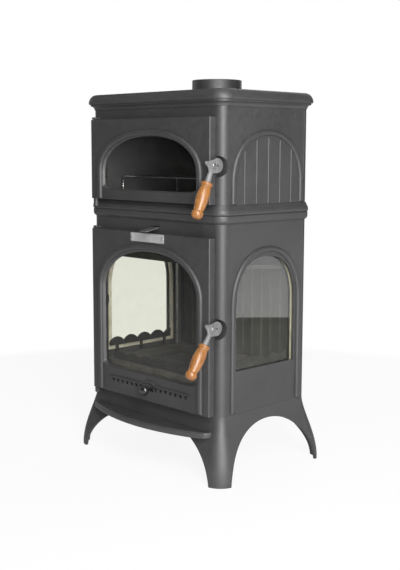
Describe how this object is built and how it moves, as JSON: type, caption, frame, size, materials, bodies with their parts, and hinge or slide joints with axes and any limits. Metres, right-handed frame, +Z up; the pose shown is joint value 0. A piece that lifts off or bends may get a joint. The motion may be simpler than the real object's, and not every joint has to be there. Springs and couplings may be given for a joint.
{
  "type": "wood burning stove",
  "caption": "Free-standing cast-iron wood stove on splayed legs: glazed firebox with side windows below, glazed oven above, wooden-gripped door latches and a rear flue collar.",
  "frame": {"origin": "middle of the overall footprint, on the floor the legs stand on", "axes": "+Z up, -Y out of the front of the stove with the doors, +X to the right as the front is faced from outside"},
  "size_m": [0.5568, 0.4518, 0.983],
  "materials": {
    "base_casting": "satin charcoal stove paint on cast iron",
    "bottom_plate": "satin charcoal stove paint on cast iron",
    "lower_front_frame": "satin charcoal stove paint on cast iron",
    "lower_rear_panel": "satin charcoal stove paint on cast iron",
    "lower_side_panel_left": "satin charcoal stove paint on cast iron",
    "lower_side_panel_right": "satin charcoal stove paint on cast iron",
    "firebox_top_plate": "satin charcoal stove paint on cast iron",
    "oven_base_plate": "satin charcoal stove paint on cast iron",
    "upper_front_frame": "satin charcoal stove paint on cast iron",
    "upper_rear_panel": "satin charcoal stove paint on cast iron",
    "upper_side_panel_left": "satin charcoal stove paint on cast iron",
    "upper_side_panel_right": "satin charcoal stove paint on cast iron",
    "top_plate": "satin charcoal stove paint on cast iron",
    "flue_collar": "satin charcoal stove paint on cast iron",
    "tie_rod_front_left": "plain steel",
    "tie_rod_front_right": "plain steel",
    "tie_rod_rear_left": "plain steel",
    "tie_rod_rear_right": "plain steel",
    "hearth_plate": "raw cast iron, sooty matt",
    "grate": "raw cast iron, sooty matt",
    "rear_liner": "raw cast iron, sooty matt",
    "baffle_plate": "raw cast iron, sooty matt",
    "log_guard_left": "raw cast iron, sooty matt",
    "log_guard_right": "raw cast iron, sooty matt",
    "log_guard_front": "raw cast iron, sooty matt",
    "side_glass_left": "clear ceramic glass",
    "side_glass_right": "clear ceramic glass",
    "side_glass_seal_left": "flat beige woven sealing tape",
    "side_glass_seal_right": "flat beige woven sealing tape",
    "oven_box": "dark smooth iron",
    "oven_hinge_pin_top": "plain steel",
    "oven_hinge_pin_bottom": "plain steel",
    "firebox_hinge_pin_top": "plain steel",
    "firebox_hinge_pin_bottom": "plain steel",
    "oven_strike_pin": "plain steel",
    "firebox_strike_pin": "plain steel",
    "oven_door": "satin charcoal stove paint on cast iron",
    "oven_door_glass": "clear ceramic glass",
    "oven_door_gasket": "braided grey glass-fibre rope",
    "oven_glass_clip_left": "folded zinc-plated steel",
    "oven_glass_clip_right": "folded zinc-plated steel",
    "oven_latch_pivot_pin": "plain steel",
    "oven_latch_lever": "dark satin steel",
    "oven_latch_grip": "turned beech, glossy orange-brown varnish",
    "firebox_door": "satin charcoal stove paint on cast iron",
    "firebox_door_glass": "clear ceramic glass",
    "firebox_door_gasket": "braided grey glass-fibre rope",
    "firebox_glass_clip_left": "folded zinc-plated steel",
    "firebox_glass_clip_right": "folded zinc-plated steel",
    "nameplate": "brushed pale metal, blank",
    "nameplate_rivet_left": "brushed pale metal, blank",
    "nameplate_rivet_right": "brushed pale metal, blank",
    "firebox_latch_pivot_pin": "plain steel",
    "firebox_latch_lever": "dark satin steel",
    "firebox_latch_grip": "turned beech, glossy orange-brown varnish",
    "air_slide": "dark sheet steel",
    "air_knob": "black heat-resistant knob, polished",
    "damper_slide": "dark sheet steel",
    "oven_rack": "bright chromed wire",
    "ash_pan": "dark sheet steel"
  },
  "bodies": {
    "stove_body": {"base_casting": "base_casting", "bottom_plate": "bottom_plate", "lower_front_frame": "lower_front_frame", "lower_rear_panel": "lower_rear_panel", "lower_side_panel_left": "lower_side_panel_left", "lower_side_panel_right": "lower_side_panel_right", "firebox_top_plate": "firebox_top_plate", "oven_base_plate": "oven_base_plate", "upper_front_frame": "upper_front_frame", "upper_rear_panel": "upper_rear_panel", "upper_side_panel_left": "upper_side_panel_left", "upper_side_panel_right": "upper_side_panel_right", "top_plate": "top_plate", "flue_collar": "flue_collar", "tie_rod_front_left": "tie_rod_front_left", "tie_rod_front_right": "tie_rod_front_right", "tie_rod_rear_left": "tie_rod_rear_left", "tie_rod_rear_right": "tie_rod_rear_right", "hearth_plate": "hearth_plate", "grate": "grate", "rear_liner": "rear_liner", "baffle_plate": "baffle_plate", "log_guard_left": "log_guard_left", "log_guard_right": "log_guard_right", "log_guard_front": "log_guard_front", "side_glass_left": "side_glass_left", "side_glass_right": "side_glass_right", "side_glass_seal_left": "side_glass_seal_left", "side_glass_seal_right": "side_glass_seal_right", "oven_box": "oven_box", "oven_hinge_pin_top": "oven_hinge_pin_top", "oven_hinge_pin_bottom": "oven_hinge_pin_bottom", "firebox_hinge_pin_top": "firebox_hinge_pin_top", "firebox_hinge_pin_bottom": "firebox_hinge_pin_bottom", "oven_strike_pin": "oven_strike_pin", "firebox_strike_pin": "firebox_strike_pin"},
    "oven_door": {"oven_door": "oven_door", "oven_door_glass": "oven_door_glass", "oven_door_gasket": "oven_door_gasket", "oven_glass_clip_left": "oven_glass_clip_left", "oven_glass_clip_right": "oven_glass_clip_right", "oven_latch_pivot_pin": "oven_latch_pivot_pin"},
    "oven_latch": {"oven_latch_lever": "oven_latch_lever", "oven_latch_grip": "oven_latch_grip"},
    "firebox_door": {"firebox_door": "firebox_door", "firebox_door_glass": "firebox_door_glass", "firebox_door_gasket": "firebox_door_gasket", "firebox_glass_clip_left": "firebox_glass_clip_left", "firebox_glass_clip_right": "firebox_glass_clip_right", "nameplate": "nameplate", "nameplate_rivet_left": "nameplate_rivet_left", "nameplate_rivet_right": "nameplate_rivet_right", "firebox_latch_pivot_pin": "firebox_latch_pivot_pin"},
    "firebox_latch": {"firebox_latch_lever": "firebox_latch_lever", "firebox_latch_grip": "firebox_latch_grip"},
    "air_regulator": {"air_slide": "air_slide", "air_knob": "air_knob"},
    "damper": {"damper_slide": "damper_slide"},
    "oven_rack": {"oven_rack": "oven_rack"},
    "ash_pan": {"ash_pan": "ash_pan"}
  },
  "joints": [
    {"name": "oven_door_hinge", "type": "hinge", "parent": "stove_body", "child": "oven_door", "pos_m": [-0.2145, -0.13781, 0.7777], "axis": [0, 0, -1], "range_deg": [0, 100]},
    {"name": "firebox_door_hinge", "type": "hinge", "parent": "stove_body", "child": "firebox_door", "pos_m": [-0.2145, -0.13781, 0.3808], "axis": [0, 0, -1], "range_deg": [0, 100]},
    {"name": "oven_latch_pivot", "type": "hinge", "parent": "oven_door", "child": "oven_latch", "pos_m": [0.228, -0.14331, 0.7685], "axis": [-1, 0, 0], "range_deg": [0, 60]},
    {"name": "firebox_latch_pivot", "type": "hinge", "parent": "firebox_door", "child": "firebox_latch", "pos_m": [0.228, -0.14331, 0.3826], "axis": [-1, 0, 0], "range_deg": [0, 55]},
    {"name": "air_regulator_slide", "type": "slide", "parent": "firebox_door", "child": "air_regulator", "axis": [1, 0, 0], "range_m": [-0.012, 0.012]},
    {"name": "damper_pull", "type": "slide", "parent": "stove_body", "child": "damper", "axis": [0, -1, 0], "range_m": [0, 0.025]},
    {"name": "oven_rack_slide", "type": "slide", "parent": "stove_body", "child": "oven_rack", "axis": [0, -1, 0], "range_m": [0, 0.035]},
    {"name": "ash_pan_slide", "type": "slide", "parent": "stove_body", "child": "ash_pan", "axis": [0, -1, 0], "range_m": [0, 0.02]}
  ]
}
